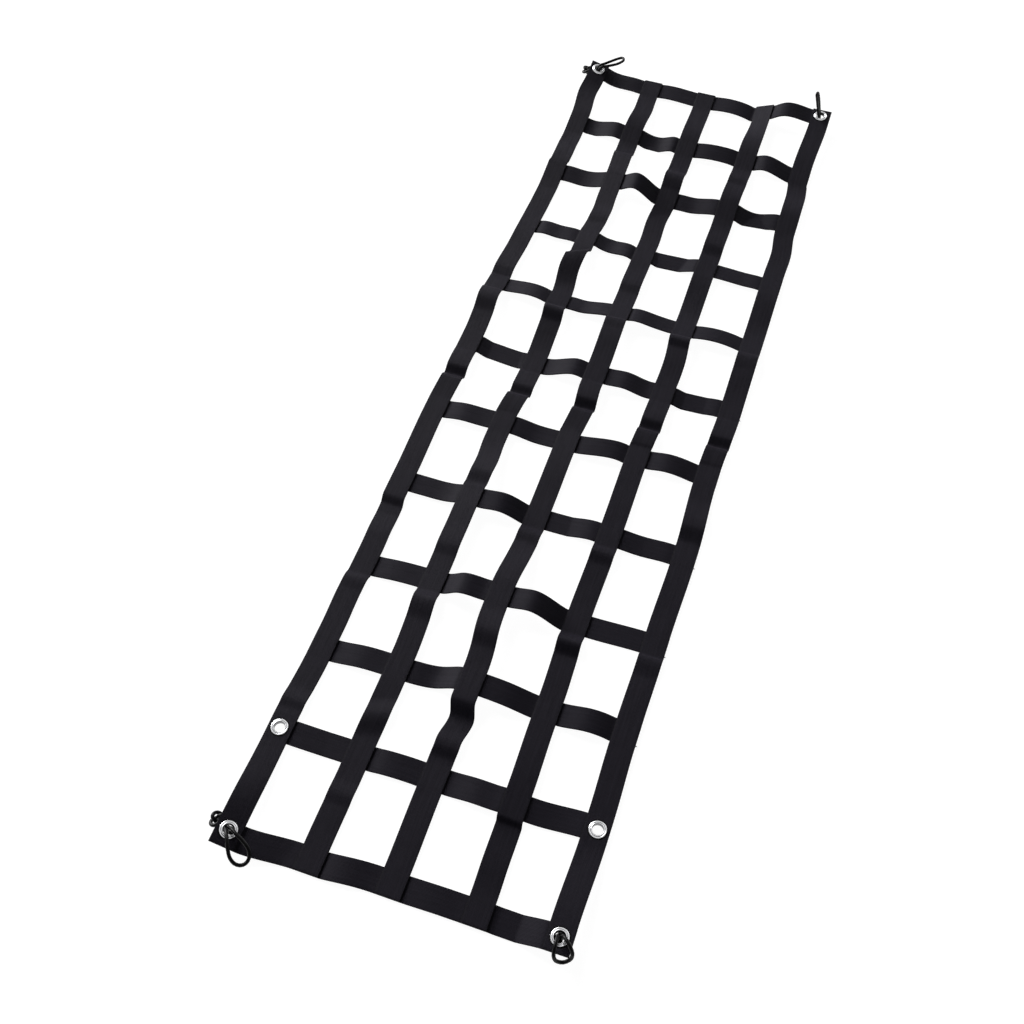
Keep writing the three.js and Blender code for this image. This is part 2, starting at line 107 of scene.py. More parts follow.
# %% [markdown]
# The lay of the net
#
# Each crossing of two straps is a flat sewn square, and the webbing bends only between them. So
# the whole lay can be noted as a maker's table: where each square was pushed to, how high it
# stands and how it tilts, and how the cross strap runs to the next. This and the later tables are
# in millimetres, which are easy to read, and become metres when they are used.

# %% Sizes and the table of crossings
MM = 0.001
WIDTH = 32 * MM
THICKNESS = 1.8 * MM
GAP = 0.3 * MM
STRAP_PITCH = 100.5 * MM
ROW_PITCH = 134 * MM
STRAPS = 5

# For each crossing: drift across, shift along, lift, and tilt, the rise from its left to its right
# edge. For each span: the slope on which it leaves its left crossing and that on which it meets its
# right one, the rise of its hump, and the place of that hump's peak. Pitch is the slope of the
# whole row from its near to its far edge. Slopes are the rise over one strap width.
Row = namedtuple("Row", "drift shift lift tilt leave meet rise peak pitch")
ROWS = (
    Row((0, 1, 0, 4, 0), (-11, -5, 0, 1, 1), (13, 0, 0, 1, 13), (-10, 0, 0, 0, 2),
        (-3, 10, 2, -5), (1, 1, 1, 8), (0, 1, 1, -4), (0.5, 0.5, 0.6, 0.4), 0),
    Row((-2, 2, -1, 2, 2), (-1, 0, 2, 1, 5), (2, 0, 0, 5, 2), (0, 0, 0, -3, 0),
        (0, 5, 1, -4), (2, -3, 5, 3), (0, 1, 3, 0), (0.2, 0.3, 0.5, 0.4), 0),
    Row((1, 4, -1, 0, 0), (-13, -10, -3, -4, -1), (0, 4, 14, 3, 2), (0, 0, 1, 0, 0),
        (3, 3, -2, 4), (0, 16, -7, -13), (2, -4, 1, 2), (0.5, 0.55, 0.5, 0.5), 0),
    Row((2, 0, -8, -3, 1), (-12, -10, -7, -7, -5), (0, 5, 17, 0, 0), (0, 2, 1, 0, 0),
        (4, 12, 4, -3), (1, 2, -16, 0), (1, 7, 8, 0), (0.4, 0.4, 0.45, 0.5), 0),
    Row((-1, 0, -4, -1, 3), (-4, -4, -1, 0, 2), (3, 11, 0, 5, 0), (0, 4, 0, -1, 0),
        (0, 2, -2, -4), (14, -16, -6, -4), (1, 4, -3, -2), (0.4, 0.5, 0.42, 0.45), 0),
    Row((-3, -1, -4, -2, -1), (0, 1, 0, 6, 8), (3, 7, 4, 5, 1), (0, 0, 2, 0, 0),
        (7, -1, 6, 6), (3, 1, -13, -8), (2, -2, -1, 2), (0.4, 0.5, 0.6, 0.4), 0),
    Row((1, 5, -1, 2, 3), (-3, -8, -3, -4, -2), (6, 1, 10, 5, 2), (0, 0, -1, 0, 0),
        (-16, 4, 0, -12), (6, -10, 4, -2), (-1, 2, 5, -3), (0.4, 0.7, 0.45, 0.4), 0),
    Row((-2, 1, -2, -1, 3), (-5, -10, -9, -8, -6), (4, 6, 11, 7, 4), (0, -2, 1, 1, 0),
        (3, 2, 12, 9), (-15, 2, -2, -10), (0, -3, -2, 0), (0.6, 0.4, 0.5, 0.4), -6),
    Row((2, 2, -2, -1, 3), (3, 1, -5, -3, -5), (2, 5, 2, 5, 3), (0, 2, 0, -2, 0),
        (14, -18, -14, 0), (-7, -18, 8, -5), (-5, -2, -2, -2), (0.52, 0.5, 0.45, 0.6), -3),
    Row((3, 5, -1, -1, -1), (4, 2, -2, -2, 2), (4, 13, 4, 10, 5), (0, 4, -2, -2, 0),
        (3, 18, 2, -17), (12, -14, 2, 0), (-2, 6, -3, -4), (0.5, 0.4, 0.45, 0.5), 6),
    Row((2, 1, -2, 0, -6), (-1, -6, -8, -6, -10), (4, 9, 9, 8, 3), (0, -3, -1, 0, 0),
        (-14, -16, 7, 14), (-10, -14, -10, -8), (1, -6, -1, 2), (0.8, 0.55, 0.6, 0.3), 6),
    Row((-2, -1, -4, 1, -2), (1, -5, -7, -11, -1), (14, 5, 5, 10, 18), (-8, 0, 0, 13, 0),
        (-17, 5, 5, 24), (-4, -2, -12, -3), (1, 0, 0, 2), (0.7, 0.45, 0.45, 0.35), 4),
)
print("crossings to sew:", STRAPS * len(ROWS))

# %% [markdown]
# On the maker's table the straps are laid out by their pitch, so an even grid is the rule, and the
# table above only says how far each square has strayed from it. The squares could be empties to
# drag about by hand, but a rule with small changes is easier to check. A square that tilts stands
# on its low edge, so that nothing sinks into the floor.

# %% A crossing's place
SEWN = WIDTH / 2 + 1.5 * MM
Crossing = namedtuple("Crossing", "centre slope_x slope_y normal")


def row_y(at):
    return (at - (len(ROWS) - 1) / 2) * ROW_PITCH


def crossing(strap, row):
    """The sewn square on the cross strap's middle surface."""
    lay = ROWS[row]
    slope_x = lay.tilt[strap] * MM / WIDTH
    slope_y = lay.pitch * MM / WIDTH
    low_edge = (abs(slope_x) + abs(slope_y)) * SEWN
    centre = Vector((
        (strap - (STRAPS - 1) / 2) * STRAP_PITCH + lay.drift[strap] * MM,
        row_y(row) + lay.shift[strap] * MM,
        max(lay.lift[strap] * MM, low_edge) + THICKNESS / 2,
    ))
    return Crossing(centre, slope_x, slope_y, Vector((-slope_x, -slope_y, 1)).normalized())


print("first crossing (mm):", [round(c / MM, 1) for c in crossing(0, 0).centre])

# %% [markdown]
# An eyelet is pressed through the two straps of a crossing, a little off its middle. Its frame, a
# matrix that stands square to the sewn patch, is worked out once, because the hole in each strap,
# the eyelet itself and the cord through it all hang on it.

# %% Eyelet places
# The strap and row of each eyelet's crossing, and its place off that crossing's middle
Eyelet = namedtuple("Eyelet", "name strap row dx dy")
EYELETS = (
    Eyelet("near_left", 0, 0, -1, 4),
    Eyelet("near_right", 4, 0, 0, 2),
    Eyelet("far_left", 0, 11, -1, 2),
    Eyelet("far_right", 4, 11, -1, 2),
    Eyelet("side_left", 0, 1, -1, 1),
    Eyelet("side_right", 4, 1, 1, -1),
)


def eyelet_frame(eyelet):
    here = crossing(eyelet.strap, eyelet.row)
    dx, dy = eyelet.dx * MM, eyelet.dy * MM
    middle = here.centre + Vector((dx, dy, here.slope_x * dx + here.slope_y * dy))
    middle += here.normal * (THICKNESS + GAP) / 2
    turn = Vector((0, 0, 1)).rotation_difference(here.normal)
    return Matrix.Translation(middle) @ turn.to_matrix().to_4x4()


eyelet_frames = {eyelet.name: eyelet_frame(eyelet) for eyelet in EYELETS}
for name, place in eyelet_frames.items():
    print(name, "(mm):", [round(c / MM, 1) for c in place.translation])

# %% [markdown]
# The elastic cord is a core of rubber strands in a braided cover. Each corner has one length of
# it, doubled: both ends come up through the eyelet from a knot below, and the fold stands out as
# a loop. Its route is a short list of points on the loop's spine and half its outline, with an
# easy curve drawn through them. Blender's own curve could draw it too, but the same
# centripetal curve as the solid's keeps the cord exactly where the solid is.

# %% Drawing an easy curve
CORD_DIAMETER = 4.5 * MM


def curve_through(points, closed=False, steps=24):
    """A dense line on the centripetal Catmull-Rom curve through the points."""
    points = [Vector(point) for point in points]
    if closed:
        ends = [points[-1]] + points + points[:2]
    else:
        ends = [2 * points[0] - points[1]] + points + [2 * points[-1] - points[-2]]
    line = []
    for p0, p1, p2, p3 in zip(ends, ends[1:], ends[2:], ends[3:]):
        t1 = (p1 - p0).length ** 0.5
        t2 = t1 + (p2 - p1).length ** 0.5
        t3 = t2 + (p3 - p2).length ** 0.5
        for step in range(steps):
            t = t1 + (t2 - t1) * step / steps
            a1 = p0.lerp(p1, t / t1)
            a2 = p1.lerp(p2, (t - t1) / (t2 - t1))
            a3 = p2.lerp(p3, (t - t2) / (t3 - t2))
            b1 = a1.lerp(a2, t / t2)
            b2 = a2.lerp(a3, (t - t1) / (t3 - t1))
            line.append(b1.lerp(b2, (t - t1) / (t2 - t1)))
    return line + [points[0] if closed else points[-1]]


def lengths_along(line):
    """The distance from the start of a line to each of its points."""
    far = [0.0]
    for here, there in zip(line, line[1:]):
        far.append(far[-1] + (there - here).length)
    return far


def even_points(line, count):
    """Points at equal distances along a line, its two ends among them."""
    far = np.array(lengths_along(line))
    places = np.linspace(0, far[-1], count)
    columns = [np.interp(places, far, [point[axis] for point in line]) for axis in range(3)]
    return [Vector(point) for point in zip(*columns)]


print("cord of", CORD_DIAMETER / MM, "mm")

# %% [markdown]
# Elastic keeps some of the bend in which it was packed, so each loop stands out in its own way. One
# outline serves all four: a narrow neck, a wide belly and a round end. It is spread along a spine
# that comes up out of the eyelet and leans over, and is then turned to its heading. A simulation
# could drop the loops, but would not leave them in these poses.

# %% The routes of the four loops
# Heading in degrees, the spread of the belly, where the knot lies beside the eyelet, and points of
# the spine, each so far out and so far up from the eyelet's top
Loop = namedtuple("Loop", "corner heading spread knot spine")
LOOPS = (
    Loop("near_left", -42, 1.1, (-21, 10),
         ((-1.5, -7.4), (0, 0), (3, 6), (11, 9), (22, 8), (34, 4), (46, -3))),
    Loop("near_right", -64, 1.3, (-2, 1),
         ((0, -7.4), (0, 0), (2, 7), (7, 12), (15, 12), (23, 6), (27, -3))),
    Loop("far_left", 30, 0.5, (-21.5, 8),
         ((-2, -9.6), (0, 0), (3, 4), (10, 5.5), (20, 7.2), (32, 9.8), (45, 13.8))),
    Loop("far_right", 170, 0.2, (-2, -6),
         ((1, -12.4), (2.5, 0), (4.5, 7), (7, 16), (9.5, 25), (12, 33), (14.5, 40))),
)
# Distance along the loop from the eyelet's top, and half the width between its legs there. Only
# what is wider than the neck spreads.
LOOP_HALF = ((0, 2.7), (6, 3), (14, 4.6), (24, 7.6), (33, 9.2), (40, 8), (44.5, 4.6), (46, 0))
NECK_HALF = 3
LIP_HEIGHT = 1.2 * MM
LIP_TOP = GAP / 2 + THICKNESS + GAP + LIP_HEIGHT
KNOT_RADIUS = 6 * MM
KNOT_HEIGHT = KNOT_RADIUS + CORD_DIAMETER
ENDS_APART = Vector((0, 1.5 * MM, 0))


def loop_route(loop):
    """The listed points of a loop: up one leg, round the end and down the other."""
    spine = curve_through([Vector((out, 0, up)) * MM for out, up in loop.spine])
    far = lengths_along(spine)
    below = -loop.spine[0][1]
    reach = LOOP_HALF[-1][0] + below
    stretch = far[-1] / reach
    stations = ((-below, LOOP_HALF[0][1]),) + LOOP_HALF
    legs = {-1: [], 1: []}
    for along, half in stations:
        at = (along + below) / reach * far[-1]
        out = float(np.interp(at, far, [point.x for point in spine]))
        up = float(np.interp(at, far, [point.z for point in spine]))
        wide = stretch * (half + (loop.spread - 1) * max(half - NECK_HALF, 0))
        for side, leg in legs.items():
            leg.append(Vector((out, side * wide, up)))
    turn = Matrix.Rotation(math.radians(loop.heading), 4, "Z")
    place = Matrix.Translation(eyelet_frames[loop.corner] @ Vector((0, 0, LIP_TOP))) @ turn
    return [place @ point for point in legs[1] + legs[-1][-2::-1]]


def knot_middle(loop):
    """The middle of a loop's knot, which lies on the floor under or beside its eyelet."""
    middle = eyelet_frames[loop.corner].translation.copy()
    middle += Vector((loop.knot[0] * MM, loop.knot[1] * MM, 0))
    middle.z = KNOT_HEIGHT / 2
    return middle


loop_lines = {}
for loop in LOOPS:
    into_knot = knot_middle(loop)
    route = [into_knot] + loop_route(loop) + [into_knot + ENDS_APART]
    loop_lines[loop.corner] = curve_through(route)
    print(loop.corner, f"cord of {lengths_along(loop_lines[loop.corner])[-1] / MM:.0f} mm")

# %% [markdown]
# Every piece is made at the origin and rides on the net's one body. A cord's cover also needs to
# know, at each point of its line, which way is along and which is square to that. A curve's bevel
# would work this out unseen. Here the first pair of directions is carried along the line and turned
# as little as possible, so that the cover isn't wrung.

# %% Pieces and frames along a line
TOUCHING = 0.002 * MM


def add_piece(name, mesh):
    """An object with smooth faces at the origin, which rides on the net's one body."""
    mesh.shade_smooth()
    piece = add_object(name, mesh)
    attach(piece, "root")
    return piece


def mesh_of(name, shape):
    """The mesh of a finished bmesh, which is then let go."""
    mesh = bpy.data.meshes.new(name)
    shape.to_mesh(mesh)
    shape.free()
    return mesh


def frames_along(points, closed=False):
    """A pair of directions square to the line at each point, turning as little as possible."""
    before_first, after_last = (points[-2], points[1]) if closed else (points[0], points[-1])
    before = [before_first] + points[:-1]
    after = points[1:] + [after_last]
    ways = [(there - here).normalized() for here, there in zip(before, after)]
    side = ways[0].orthogonal().normalized()
    sides = [side]
    for here, there in zip(ways, ways[1:]):
        side = here.rotation_difference(there) @ side
        sides.append((side - there * side.dot(there)).normalized())
    return list(zip(ways, sides))


print("points closer than", TOUCHING / MM, "mm are made one")

# %% [markdown]
# A braided cord could be a plain tube with its braid painted on, but its edge would be too smooth
# in a close view. So a flat grid is rolled round the line, as if the cover were wrapped on: one
# side of the grid runs along the cord and the other round it. The yarns of a braid wind two ways,
# and where two of them cross, the cover is thickest. The product of two waves has that shape. A
# loop's ends are closed like a cut cord's. A knot's are joined, with the twist between them spread
# over its length so that the braid meets itself. The grid's across and along are kept as a UV map,
# for the finish to follow.

# %% Rolling a braided cord
CORD_SIDES = 32
CORD_STEP = 0.45 * MM
YARNS = 8
YARN_WAVES = YARNS * math.pi
BRAID_PITCH = 7 * MM
BRAID_DEPTH = 0.22 * MM


def roll_cord(name, line, closed=False):
    length = lengths_along(line)[-1]
    rings = round(length / CORD_STEP)
    points = even_points(line, rings + 1)
    frames = frames_along(points, closed)
    twist = 0.0
    if closed:
        way, side = frames[0]
        end = frames[-1][1]
        twist = math.atan2(end.cross(side).dot(way), end.dot(side))
    turns = round(length / BRAID_PITCH)

    cover = bmesh.new()
    braid = cover.loops.layers.uv.new("braid")
    bmesh.ops.create_grid(cover, x_segments=CORD_SIDES, y_segments=rings, size=0.5)
    for face in cover.faces:
        for corner in face.loops:
            corner[braid].uv = (corner.vert.co.x + 0.5, corner.vert.co.y * turns)
    for vert in cover.verts:
        share = vert.co.y + 0.5
        ring = round(share * rings)
        way, side = frames[ring]
        angle = 2 * math.pi * vert.co.x + twist * share
        lay = YARN_WAVES * vert.co.x
        wind = YARN_WAVES * share * turns / 4
        yarns = abs(math.sin(lay + wind)) * abs(math.sin(lay - wind))
        radius = CORD_DIAMETER / 2 - BRAID_DEPTH / 2 + BRAID_DEPTH * yarns
        out = side * math.cos(angle) + way.cross(side) * math.sin(angle)
        vert.co = points[ring] + out * radius
    bmesh.ops.remove_doubles(cover, verts=cover.verts, dist=TOUCHING)
    if not closed:
        open_rims = [edge for edge in cover.edges if edge.is_boundary]
        bmesh.ops.holes_fill(cover, edges=open_rims, sides=0)
    bmesh.ops.recalc_face_normals(cover, faces=cover.faces)
    piece = add_piece(name, mesh_of(name, cover))
    return piece, points


print("braid of", 2 * YARNS, "yarns")

# %% [markdown]
# The knot keeps the doubled cord from pulling through its eyelet. A real stopper knot is drawn
# tight and lumpy. Three lobes of the same cord, each passing over and under the next, give that
# lump, and where a knot looks out from under its strap the gaps between the lobes can be seen. At
# the two left corners the cut ends of the cord lie back under the eyelet and darken its hole, partly
# standing in for the shade under the strap, which the glowing floor doesn't show.

# %% Knots and loops
KNOT_POINTS = 48


def knot_line(middle):
    """A closed line that goes twice round the middle, over and under itself, in three lobes."""
    line = []
    for n in range(KNOT_POINTS):
        around = 4 * math.pi * n / KNOT_POINTS
        lobe = 1.5 * around
        reach = KNOT_RADIUS * (2 + math.cos(lobe)) / 2
        height = KNOT_RADIUS * math.sin(lobe) / 2
        line.append(middle + Vector((reach * math.cos(around), reach * math.sin(around), height)))
    return curve_through(line, closed=True, steps=8)


# These cut ends partly stand in for the shade that the glowing floor doesn't show through the two left
# eyelets.
# Points of the cut ends, right of and beyond the eyelet's middle and up from the floor
CUT_ENDS = {
    "near_left": (((-11, 2.6, 2.6), (-4, 1.2, 2.3), (4, 1.0, 2.3)),
                  ((-11, 7.2, 2.6), (-4, 5.9, 2.3), (3, 5.7, 2.3))),
    "far_left": (((-11, 8.0, 7), (-4, 7.0, 9), (3, 7.0, 9.5)),
                 ((-11, 12.6, 7), (-4, 11.7, 9), (2, 11.7, 9.5))),
}


def lay_ends(loop):
    """The cut ends of a loop's cord, which run from its knot to under the eyelet."""
    ends = []
    under = eyelet_frames[loop.corner].translation * Vector((1, 1, 0))
    for number, places in enumerate(CUT_ENDS.get(loop.corner, ()), 1):
        line = [knot_middle(loop)] + [under + Vector(place) * MM for place in places]
        end, _ = roll_cord(f"cord_end_{number}_{loop.corner}", curve_through(line))
        ends.append(end)
    return ends


cords = []
for loop in LOOPS:
    knot, _ = roll_cord(f"cord_knot_{loop.corner}", knot_line(knot_middle(loop)), closed=True)
    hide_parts(f"knot_{loop.corner}")
    cord, points = roll_cord(f"cord_loop_{loop.corner}", loop_lines[loop.corner])
    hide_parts(f"loop_{loop.corner}")
    ends = lay_ends(loop)
    length = lengths_along(loop_lines[loop.corner])[-1]
    cords += [knot, cord, *ends]
print("cord pieces:", len(cords))

# %% [markdown]
# The webbing's run
#
# Between two sewn squares a strap is free and bends in an easy curve. A long strap leaves one square
# on its slope and meets the next on that one's slope. A cross strap is the lower of the two layers
# and kinks where the sewing ends, so it leaves and meets on slopes of its own, from the table.
# Arrays work out all points of a strap at once, which is much quicker than point by point.

# %% An easy run from square to square
Seats = namedtuple("Seats", "at side height slope lean leave meet")


def smooth(t):
    s = np.clip(t, 0, 1)
    return s * s * (3 - 2 * s)


def long_strap_seats(strap):
    seats = []
    for row in range(len(ROWS)):
        here = crossing(strap, row)
        height = here.centre.z + (THICKNESS + GAP) / here.normal.z
        slope = here.slope_y
        seats.append((here.centre.y, here.centre.x, height, slope, here.slope_x, slope, slope))
    return Seats(*np.array(seats).T)


def cross_strap_seats(row):
    leave = ROWS[row].leave + (0,)
    meet = (0,) + ROWS[row].meet
    seats = []
    for strap in range(STRAPS):
        here = crossing(strap, row)
        seats.append((here.centre.x, here.centre.y, here.centre.z, here.slope_x, here.slope_y,
                      leave[strap] * MM / WIDTH, meet[strap] * MM / WIDTH))
    return Seats(*np.array(seats).T)


def run(seats, along):
    """Side, height and lean of a strap at places along it, and the span and share that they are at."""
    last = len(seats.at) - 1
    after = np.searchsorted(seats.at, along, side="right")
    a = np.clip(after - 1, 0, last)
    b = np.clip(after, 0, last)
    start = seats.at[a] + SEWN
    length = np.where(a == b, 1, seats.at[b] - SEWN - start)
    s = np.where(a == b, 0, np.clip((along - start) / length, 0, 1))
    ease = smooth(s)
    first = seats.height[a] + seats.slope[a] * SEWN
    final = seats.height[b] - seats.slope[b] * SEWN
    bend = length * s * (1 - s) * (seats.leave[a] * (1 - s) - seats.meet[b] * s)
    height = first + (final - first) * ease + bend
    height = np.where(s <= 0, seats.height[a] + seats.slope[a] * (along - seats.at[a]), height)
    height = np.where(s >= 1, seats.height[b] + seats.slope[b] * (along - seats.at[b]), height)
    side = seats.side[a] + (seats.side[b] - seats.side[a]) * ease
    lean = seats.lean[a] + (seats.lean[b] - seats.lean[a]) * ease
    return side, height, lean, a, s


print("first strap's squares (mm):", np.round(long_strap_seats(0).at / MM))

# %% [markdown]
# The folds of the long straps are what the packing left: a sharp valley where the net was doubled
# over, and softer crests where it was rolled. Each is a crest with a slope on either side, listed
# with its own height and lengths. Between them a strap bows a little to one side or the
# other, from being pulled about as it was laid out. A physics bake could fold the straps too, but
# it would not put each crease where the net has it.

# %% The table of folds
# Where each fold is, in rows, its rise, the lengths of its near and far slopes, how far it sways the
# strap to the right, and how far its crest runs askew over the strap's width
Fold = namedtuple("Fold", "strap at rise near far sway skew", defaults=(0, 0))
FOLDS = (
    Fold(0, 1.30, 2, 14, 20),
    Fold(0, 2.70, 2, 18, 14),
    Fold(0, 3.63, -5, 50, 16, 1),
    Fold(0, 6.66, 7, 30, 40),
    Fold(0, 7.25, 6, 26, 60),
    Fold(1, 0.60, 2, 16, 20),
    Fold(1, 1.40, 4, 30, 26, 1, 10),
    Fold(1, 2.68, 6, 32, 16),
    Fold(1, 3.36, 3, 20, 40),
    Fold(1, 4.30, 6, 24, 50),
    Fold(1, 6.70, 8, 22, 14),
    Fold(1, 7.67, 9, 68, 7, -3, 16),
    Fold(1, 8.42, 3, 18, 30),
    Fold(1, 9.52, 5, 40, 7),
    Fold(2, 1.32, 3, 16, 24, 1),
    Fold(2, 1.62, -8, 36, 22, 5),
    Fold(2, 2.52, 5, 26, 36),
    Fold(2, 3.76, 4, 18, 14),
    Fold(2, 6.76, 3, 18, 14),
    Fold(2, 7.42, 4, 20, 46),
    Fold(2, 9.32, 7, 30, 24),
    Fold(3, 0.81, -4, 60, 9, 1),
    Fold(3, 2.70, 9, 20, 18),
    Fold(3, 3.76, 4, 18, 14),
    Fold(3, 6.72, 6, 16, 14),
    Fold(3, 8.38, 6, 26, 50),
    Fold(3, 9.58, 4, 18, 30),
    Fold(4, 2.77, 4, 26, 20),
    Fold(4, 4.38, 8, 28, 50),
    Fold(4, 6.74, 3, 26, 14),
)
# Where the packing's valley crosses each strap, how far the strap sways there, and the valley's
# own folds: its near ridge, its floor and its far slope, each at a distance in rows
PACKING_VALLEY = (5.465, 5.445, 5.465, 5.43, 5.46)
VALLEY_SWAY = (2, 2.5, 4, 1.5, 0.5)
VALLEY_FOLDS = ((-0.03, 4, 45, 6), (0, -3, 8, 18), (0.13, 4, 16, 45))
SWAY_NEAR = 55
SWAY_FAR = 45
# Where else a strap lies bowed to one side: the strap, the place in rows, and how far
BOWS = (
    (0, 2.55, -2), (0, 9.3, 2), (0, 10.55, -3), (1, 4.4, 3), (1, 6.6, 2), (1, 7.4, -4),
    (1, 8.45, 3), (1, 10.45, 2), (2, 3.4, 1), (2, 8.6, -3), (3, 6.45, 2), (4, 8.55, 3),
    (4, 9.6, 2.5),
)
PATCH_BLEND = 5 * MM


def folds_of(strap):
    valley = PACKING_VALLEY[strap]
    folds = [fold for fold in FOLDS if fold.strap == strap]
    bows = [(at, sway) for bowed, at, sway in BOWS if bowed == strap]
    for at, sway in bows + [(valley, VALLEY_SWAY[strap])]:
        folds.append(Fold(strap, at, 0, SWAY_NEAR, SWAY_FAR, sway))
    for ahead, rise, near, far in VALLEY_FOLDS:
        folds.append(Fold(strap, valley + ahead, rise, near, far))
    return folds


def crest(fold, along, across):
    beyond = (along - row_y(fold.at)) / MM - fold.skew * across / WIDTH
    return np.where(beyond < 0, smooth(1 + beyond / fold.near), smooth(1 - beyond / fold.far))


print("folds:", sum(len(folds_of(strap)) for strap in range(STRAPS)))

# %% [markdown]
# Now a strap's surface can be asked for: given places along and across the flat webbing, it tells
# where they lie. The run, the folds and a little unevenness are added up. They all fade out at the
# sewn squares, where two layers and their stitches hold the webbing flat.

# %% The surfaces of the straps
WAVE_ALONG = 45 * MM
WAVE_ACROSS = 50 * MM
WAVE_HEIGHT = 0.5 * MM
FIRST_CROSS_SEED = 10


def uneven(along, across, seed):
    """Small waves that no two stretches of webbing share."""
    waves = [noise.noise((a / WAVE_ALONG, c / WAVE_ACROSS, seed)) for a, c in zip(along, across)]
    return np.array(waves) * WAVE_HEIGHT


def freedom(seats, along):
    """0 on the sewn squares, and 1 from a little way off them."""
    off_square = np.abs(along[:, None] - seats.at[None, :]).min(axis=1) - SEWN
    return smooth(off_square / PATCH_BLEND)


def long_strap_surface(strap, along, across):
    seats = long_strap_seats(strap)
    side, height, lean, _, _ = run(seats, along)
    free = freedom(seats, along)
    level = across / np.hypot(1, lean)
    x = side + level
    z = height + level * lean + free * uneven(along, across, strap)
    for fold in folds_of(strap):
        x = x + free * fold.sway * MM * crest(fold, along, 0)
        z = z + free * fold.rise * MM * crest(fold, along, across)
    return np.column_stack((x, along, np.maximum(z, THICKNESS / 2)))


def cross_strap_surface(row, along, across):
    seats = cross_strap_seats(row)
    side, height, lean, span, s = run(seats, along)
    rise = np.array(ROWS[row].rise + (0,))[span] * MM
    peak = np.array(ROWS[row].peak + (0.5,))[span]
    hump = np.where(s < peak, smooth(s / peak), smooth((1 - s) / (1 - peak)))
    level = -across / np.hypot(1, lean)
    waves = freedom(seats, along) * uneven(along, across, row + FIRST_CROSS_SEED)
    z = height + rise * hump + level * lean + waves
    return np.column_stack((along, side + level, np.maximum(z, THICKNESS / 2)))


sample = long_strap_surface(1, np.array([row_y(7.6)]), np.array([0.0]))
print("second strap at its tallest fold (mm):", np.round(sample / MM, 1))

# %% [markdown]
# Each strap is one length of webbing, cut from a roll, with the holes for its eyelets burnt
# through. They are cut while it is still a flat grid: a square block of faces is taken out, and its
# open edge is drawn in to a round rim. A boolean could cut them too, but leaves ragged faces.

# %% Cutting a hole
HOLE_RADIUS = 8.6 * MM
HOLE_BLOCK = 9.8 * MM


def cut_hole(webbing, centre):
    uncut = {edge for edge in webbing.edges if edge.is_boundary}
    block = []
    for face in webbing.faces:
        out = face.calc_center_median() - centre
        if max(abs(out.x), abs(out.y)) < HOLE_BLOCK:
            block.append(face)
    bmesh.ops.delete(webbing, geom=block, context="FACES")
    open_edge = [edge for edge in webbing.edges if edge.is_boundary and edge not in uncut]
    drawn = bmesh.ops.extrude_edge_only(webbing, edges=open_edge)
    for vert in drawn["geom"]:
        if isinstance(vert, bmesh.types.BMVert):
            vert.co = centre + (vert.co - centre).normalized() * HOLE_RADIUS


print("holes of", 2 * HOLE_RADIUS / MM, "mm")

# %% [markdown]
# Two maps are written while the grid's coordinates are still plain distances: the weave map holds
# the place on the flat webbing, and the rims map how far it is to the nearest hole and the nearest
# cut end. Then the grid is laid over the strap's run, given its thickness, and its rims are rounded,
# as a heat-cut edge is. Points along the strap's middle are also worked out, but not used.

# %% Cutting and laying a strap
CELLS_ACROSS = 16
CELL_ALONG = 2.2 * MM
RIM_ROUND = 0.55 * MM
RIM_RADIANS = 1
RUN_POINTS = 600


def lay_strap(name, node, surface, seats, holes):
    start = seats.at[0] - WIDTH / 2
    end = seats.at[-1] + WIDTH / 2
    webbing = bmesh.new()
    weave = webbing.loops.layers.uv.new("weave")
    rims = webbing.loops.layers.uv.new("rims")
    steps = round((end - start) / CELL_ALONG)
    bmesh.ops.create_grid(webbing, x_segments=CELLS_ACROSS, y_segments=steps, size=0.5)
    bmesh.ops.scale(webbing, vec=(WIDTH, end - start, 1), verts=webbing.verts)
    bmesh.ops.translate(webbing, vec=(0, (start + end) / 2, 0), verts=webbing.verts)
    for hole in holes:
        cut_hole(webbing, hole)
    bmesh.ops.recalc_face_normals(webbing, faces=webbing.faces)
    for face in webbing.faces:
        for corner in face.loops:
            spot = corner.vert.co
            corner[weave].uv = spot.xy
            from_hole = min([(spot - hole).length for hole in holes], default=1)
            corner[rims].uv = (from_hole, min(spot.y - start, end - spot.y))

    flat = np.array([vert.co for vert in webbing.verts])
    for vert, place in zip(webbing.verts, surface(flat[:, 1], flat[:, 0])):
        vert.co = place
    webbing.normal_update()
    for vert in webbing.verts:
        vert.co += vert.normal * THICKNESS / 2
    bmesh.ops.solidify(webbing, geom=webbing.faces[:], thickness=THICKNESS)
    sharp = [edge for edge in webbing.edges if edge.calc_face_angle(0) > RIM_RADIANS]
    bmesh.ops.bevel(webbing, geom=sharp, offset=RIM_ROUND, offset_type="OFFSET", segments=2,
                    profile=0.5, affect="EDGES", clamp_overlap=True, material=-1)

    middle = np.linspace(start, end, RUN_POINTS)
    line = surface(middle, np.zeros(RUN_POINTS))
    piece = add_piece(name, mesh_of(name, webbing))
    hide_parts(node)
    return piece


print("cells across a strap:", CELLS_ACROSS)

# %% [markdown]
# The five long straps lie on top and the twelve cross straps under them. One could be laid and then
# copied, but no two lie alike, so each is laid by itself. It gets only the holes of its own
# eyelets, at their places on the flat strap.

